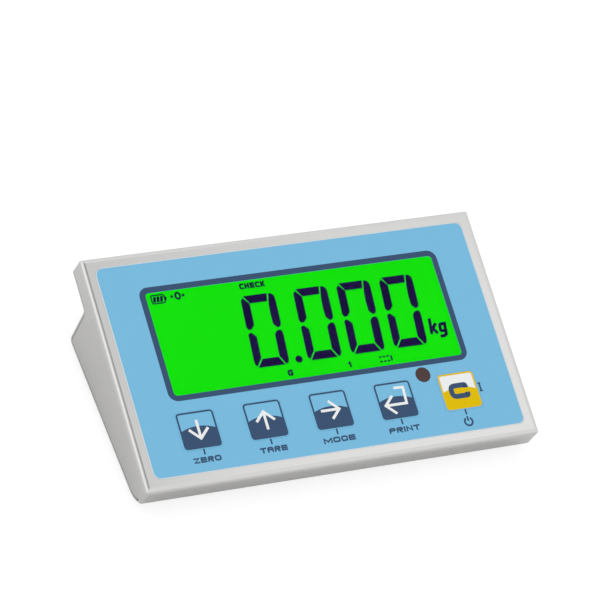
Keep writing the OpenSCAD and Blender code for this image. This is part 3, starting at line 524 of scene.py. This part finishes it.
def overlay_prints(middles):
    navy = FINISH["key_print_blue"]
    border = box_loop(WINDOW_LOW - BORDER_LOW, WINDOW_HIGH + BORDER_HIGH, BORDER_R)
    window = box_loop(WINDOW_LOW, WINDOW_HIGH, WINDOW_R)
    plate("window_border", [(border, window, True)], -PRINT_IN, PRINT_OUT, navy, "housing")

    marks = []
    for middle in middles:
        x = middle.x + TICK_RIGHT
        marks.append(stroke([(x, TICK_TOP), (x, TICK_FOOT)], TICK_T))
    for text, (left, right) in LABELS.items():
        marks += word(text, left, right, LABEL_Y, LABEL_H, LABEL_T, LABEL_GAP, LABEL_BEND)
    ring = arc(POWER_R, POWER_R, POWER_START, POWER_SWEEP, 24)
    marks += moved([stroke(ring, 1.0), stroke([(0, 0.3), (0, 3.0)], 0.9)], POWER_PLACE)
    post = stroke([(0, -1.7), (0, 1.7)], 0.95)
    serifs = [stroke([(-0.9, 2.1), (0.7, 2.1)], 0.8), stroke([(-0.8, -2.1), (1.0, -2.1)], 0.8)]
    marks += moved([post, *serifs], POST_PLACE)
    plate("key_labels", marks, -PRINT_IN, PRINT_OUT, navy, "housing")

    low, high = (v.xy for v in on_panel("overlay"))
    # A pale strip over the overlay's cut edge and its gap: painted highlight, and it covers the shade that
    # falls in the gap
    out, inward = Vector((EDGE_OUT, EDGE_OUT)), Vector((EDGE_IN, EDGE_IN))
    outer = box_loop(low - out, high + out, OVERLAY_R + EDGE_OUT)
    inner = box_loop(low + inward, high - inward, OVERLAY_R - EDGE_IN)
    plate("overlay_edge_highlight", [(outer, inner, True)], -EDGE_DEPTH, PRINT_OUT, edge_film_and_highlight, "housing")


# Key prints: a field above an arch, which leaves the key's outline, and a symbol

KEY_R, OUTLINE, ARCH_R, ARCH_TOP = 1.9, 0.95, 22.5, 2.05
ARROW_T, C_T, C_BEND = 1.4, 2.7, 2.4


def key_field(half_w, half_h):
    """The part of a key's face above its arch."""
    a, b = half_w - OUTLINE, half_h - OUTLINE
    loop = box_loop((-a, -b), (a, b), KEY_R - OUTLINE)
    top = loop[: len(loop) // 2]
    steps = 24
    across = [a * (2 * k / steps - 1) for k in range(steps + 1)]
    arch = [Vector((x, ARCH_TOP - ARCH_R + math.sqrt(ARCH_R**2 - x * x))) for x in across]
    return [[*top, *arch]]


def arrow(top, tip, span):
    """An arrow that points down from top to tip, its head span wide."""
    # An arm's middle line leaves the apex at 45 degrees, and its edges lie above and below it by the rise
    rise, half_t = ARROW_T / math.sqrt(2), ARROW_T / 2
    apex, reach = tip + rise, span / 2 - rise / 2
    half = [
        (half_t, top), (half_t, apex + rise + half_t),
        (reach - rise / 2, apex + reach + rise / 2), (reach + rise / 2, apex + reach - rise / 2),
        (0, apex - rise),
    ]
    return [half + [(-x, y) for x, y in reversed(half[:-1])]]


def key_symbols():
    """Each key's symbol: arrows down, up, to the right and back with a bent tail, and the letter C."""
    letter_c = [(3.8, 1.2), (3.8, 2.9), (-4.6, 2.9), (-4.6, -2.9), (4.0, -2.9), (4.0, -1.2)]
    bent_tail = stroke([(5.35, -1.6), (5.75, 6.4), (0.6, 6.6)], ARROW_T)
    return {
        "zero": arrow(5.3, -5.6, 11.3),
        "tare": moved(arrow(5.3, -5.4, 11.0), turn=180),
        "mode": moved(arrow(5.7, -5.4, 10.7), turn=90),
        "print": moved(arrow(6.0, -7.4, 10.8), (0, -2.3), -90) + [bent_tail],
        "clear": [stroke(rounded(letter_c, C_BEND), C_T)],
    }


# Section of the film drawn up to a key: how far it is from the key's edge, and its height on the panel
RIM_PROFILE = [
    (0.7, -0.03), (0.7, 0.008), (0.34, 0.018), (0.14, 0.26),
    (0.0, 0.36), (0.0, 0.31), (0.16, 0.19), (0.32, -0.03),
]


def press_rim(key, low, high):
    """The overlay's film, drawn up to a key's edge: it follows the housing outside and the key inside."""
    mesh = bmesh.new()
    rails = []
    for out, z in RIM_PROFILE:
        step = Vector((out, out))
        rails.append([mesh.verts.new((x, y, z)) for x, y in box_loop(low - step, high + step, KEY_R + out)])
    for a, b in zip(rails, rails[1:] + rails[:1]):
        for i in range(len(a)):
            mesh.faces.new((a[i - 1], a[i], b[i], b[i - 1]))
    rim = as_piece(key + "_rim", mesh, FINISH["overlay_print"])
    for face in rim.data.polygons:
        face.use_smooth = True
    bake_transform(rim)


corners = {key: on_panel("key_" + key) for key in ("zero", "tare", "mode", "print", "clear")}
overlay_prints([(low + high) / 2 for low, high in corners.values()])
symbols = key_symbols()
# Finish and slot of the field and the symbol; the last key's are its own
PLAIN_FIELD = (FINISH["overlay_print"], "overlay_print")
WHITE_MARK = (white_print, "keypad_film")
DARK_MARK = (FINISH["key_print_blue"], "key_print_blue")
for key, (low, high) in corners.items():
    body = key + "_key"
    field_look, mark_look = (WHITE_MARK, DARK_MARK) if key == "clear" else (PLAIN_FIELD, WHITE_MARK)
    middle, half = (low + high).xy / 2, (high - low).xy / 2
    field = moved(key_field(half.x, half.y), middle)
    plate(key + "_field", field, high.z - PRINT_IN, high.z + PRINT_OUT, field_look[0], body)
    mark = moved(symbols[key], middle)
    plate(key + "_symbol", mark, high.z - PRINT_IN, high.z + 2 * PRINT_OUT, mark_look[0], body)
    press_rim(key, low.xy, high.xy)


# Small marks of the display, in the layer of its segments

# The unit's slant, how far left of its drawn place it stands, and its stroke
SLANT, UNIT_LEFT, UNIT_T = 0.13, 0.95, 1.7


def battery():
    """Three slanted bars in a case with a tip."""
    bars = [stroke([(x - 0.4, 36.9), (x + 0.4, 39.9)], 1.45) for x in (-73.9, -72.0, -70.1)]
    case = stroke(box_loop((-75.5, 36.2), (-68.4, 40.7), 0.9), 0.65, True)
    tip = [(-68.05, 37.3), (-67.4, 37.6), (-67.4, 39.3), (-68.05, 39.6)]
    return [case, tip, *bars]


def zero_mark():
    """A nought between two dashes."""
    nought = stroke(arc(1.25, 1.65, 0, 360, 32)[:-1], 1.05, True)
    dashes = [stroke([(x - 0.7, 38.9), (x + 0.7, 38.9)], 1.3) for x in (-64.4, -58.2)]
    return moved([nought], (-61.15, 38.9)) + dashes


def unit_mark():
    """The letters k and g, slanted."""
    paths = [
        [(70.2, -0.6), (70.2, 8.1)],
        [(73.3, 5.0), (71.2, 2.3), (73.6, -0.6)],
        [(78.3, 5.1), (78.3, -1.5), (77.2, -2.4), (74.8, -2.4)],
        [(77.6, 4.2), (75.4, 4.2), (75.4, 0.4), (77.6, 0.4)],
    ]
    *straight, bowl = [[(x - UNIT_LEFT + SLANT * y, y) for x, y in path] for path in paths]
    return [stroke(path, UNIT_T) for path in [*straight, rounded(bowl, 1.2)]]


def lower_marks():
    """The letter G, the number 1 and a box of dashes."""
    shapes = word("G", -15.3, -12.3, -10.5, 3.3, 1.0, gap=0.6, bend=0.7)
    shapes += [stroke([(18.7, -10.2), (19.6, -9.4), (19.6, -12.1)], 1.05)]
    shapes += [stroke([(x, y), (x + 1.4, y)], 0.85) for y in (-9.0, -11.6) for x in (36.1, 38.3, 40.5)]
    return shapes + [stroke([(42.9, -8.9), (42.9, -11.8)], 0.9)]


def display_marks():
    low, high = on_panel("display_segments")
    marks = word("CHECK", -27.2, -13.0, 39.3, 3.1, 0.92, gap=0.4, bend=0.5)
    marks += battery() + zero_mark() + unit_mark() + lower_marks()
    plate("display_marks", marks, low.z, high.z, FINISH["segment_ink"], "housing")


display_marks()


# Floor, world and lamps

FLOOR_REACH, FLOOR_DROP = 6.0, 0.05 * MM
# The floor's shade for all but the camera, how much darker it is for the camera, and what it
# gives off towards the camera and towards what reflects it
FLOOR_SHADE, SEEN_DROP, SEEN_GLOW, GLOSSY_GLOW = 0.8, 0.5, 0.78, 0.02


def make_stage():
    """A pale floor that keeps the object's shadow and lets a view from below through."""
    data = bpy.data.meshes.new("floor")
    r, level = FLOOR_REACH, cad_box[0].z - FLOOR_DROP
    data.from_pydata([(-r, -r, level), (r, -r, level), (r, r, level), (-r, r, level)], [], [(0, 1, 2, 3)])
    mat = bpy.data.materials.new("pale_floor")
    n = Nodes(mat)
    path = n.add("LightPath").outputs
    seen = n.math("MAXIMUM", path["Is Camera Ray"], path["Is Transmission Ray"])
    glossy = n.math("MULTIPLY", path["Is Glossy Ray"], GLOSSY_GLOW)
    glow = n.math("ADD", n.math("MULTIPLY", seen, SEEN_GLOW), glossy)
    shade = n.math("SUBTRACT", FLOOR_SHADE, n.math("MULTIPLY", seen, SEEN_DROP))
    blue = n.math("MULTIPLY", shade, n.ranged(n.noise(60.0), 0.99, 1.0))
    tint = n.add("CombineColor", Red=shade, Green=shade, Blue=blue).outputs[0]
    top = n.add("BsdfPrincipled", Base_Color=tint, Roughness=0.9, Specular_IOR_Level=0.0,
                Emission_Color=PLAIN_WHITE, Emission_Strength=glow)
    below = n.add("BsdfTransparent", Color=PLAIN_WHITE)
    n.close(n.mixed(n.add("NewGeometry").outputs["Backfacing"], top, below))
    data.materials.append(mat)
    floor = bpy.data.objects.new("floor", data)
    scene.collection.objects.link(floor)


# The world's level for matt surfaces. What steel reflects is white with soft patches: for each, its
# direction, the cosines where it starts and where it is full, and how much brighter it is.
DIFFUSE_LEVEL = 0.925
REFLECTED = [
    ((0.0, 0.13, 0.99), 0.91, 0.985, -0.55),
    ((-0.76, 0.21, 0.61), 0.93, 0.99, 0.4),
    ((-0.98, 0.1, 0.0), 0.5, 0.95, -0.2),
]


def make_world():
    """Even white light. Steel reflects a dimmer ceiling and left side, and a brighter patch between them."""
    world = bpy.data.worlds.new("studio")
    scene.world = world
    n = Nodes(world)
    way = n.add("TexCoord").outputs["Generated"]
    path = n.add("LightPath").outputs
    shown = 1.0
    for direction, start, end, height in REFLECTED:
        toward = n.dot(way, Vector(direction).normalized())
        node = n.add("MapRange", {"interpolation_type": "SMOOTHSTEP"})
        shown = n.math("ADD", shown, n.fill(node, toward, start, end, 0.0, height).outputs[0])
    strength = n.blend(path["Is Glossy Ray"], DIFFUSE_LEVEL, shown)
    seen = n.math("MAXIMUM", path["Is Camera Ray"], path["Is Transmission Ray"])
    n.close(n.add("Background", Color=PLAIN_WHITE, Strength=n.blend(seen, strength, 1.0)), "World")


def make_lamp(name, way, distance, size, brightness, target=(0, 0, 0)):
    """A round soft lamp of that brightness, where the world's white is 1."""
    data = bpy.data.lights.new(name, "AREA")
    data.shape = "DISK"
    data.size = size
    data.energy = brightness * math.pi * math.pi * (size / 2) ** 2
    lamp = bpy.data.objects.new(name, data)
    aim = Vector(way).normalized()
    lamp.location = Vector(target) + aim * distance
    lamp.rotation_euler = aim.to_track_quat("Z", "Y").to_euler()
    scene.collection.objects.link(lamp)


make_stage()
make_world()
make_lamp("back_lamp", (-0.62, 0.62, 0.48), distance=2.2, size=1.0, brightness=1.6)
make_lamp("front_card", (0.41, 0.14, 0.90), distance=0.55, size=0.3, brightness=0.2,
          target=(0.05, -0.10, 0.02))
scene.view_settings.view_transform = "Standard"

bpy.context.view_layer.update()
